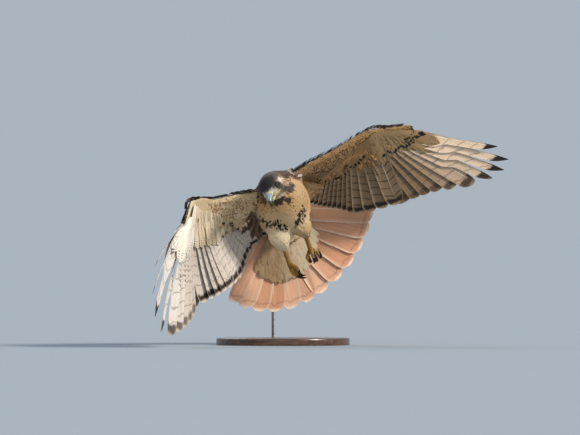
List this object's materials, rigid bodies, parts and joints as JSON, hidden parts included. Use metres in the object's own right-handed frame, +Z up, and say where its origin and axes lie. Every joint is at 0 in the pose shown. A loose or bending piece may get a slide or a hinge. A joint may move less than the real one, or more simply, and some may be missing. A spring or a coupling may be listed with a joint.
{
  "type": "bird_model",
  "caption": "Life-size display model of a red-tailed hawk banking in flight with spread wings and fanned tail, held over a round wooden base by a steel rod.",
  "frame": {"origin": "centre of the underside of the stand base, on the ground", "axes": "+Z up; the bird flies towards -Y, its left wing towards +X"},
  "size_m": [0.7974, 0.7023, 0.4952],
  "materials": {
    "plumage": "layered feathers, cream below with dark brown spots and bars, dark brown above",
    "tail_feathers": "pale rufous feathers with a thin dark band near the tip",
    "bill": "smooth horn, pale at the base and black at the tip",
    "eye": "polished dark glass",
    "feet": "scaly yellow skin",
    "claws": "smooth black horn",
    "stand_wood": "satin dark wood",
    "stand_metal": "brushed"
  },
  "bodies": {
    "root": {"torso": "plumage", "neck": "plumage", "head": "plumage", "bill_upper": "bill", "bill_lower": "bill", "eye_left": "eye", "eye_right": "eye", "wing_left_arm": "plumage", "wing_left_hand": "plumage", "wing_right_arm": "plumage", "wing_right_hand": "plumage", "tail": "tail_feathers", "leg_left_thigh": "plumage", "leg_left_foot": "feet", "leg_right_thigh": "plumage", "leg_right_foot": "feet", "claw_left_1": "claws", "claw_left_2": "claws", "claw_left_3": "claws", "claw_left_4": "claws", "claw_right_1": "claws", "claw_right_2": "claws", "claw_right_3": "claws", "claw_right_4": "claws", "stand_base": "stand_wood", "stand_rod": "stand_metal"}
  },
  "joints": []
}
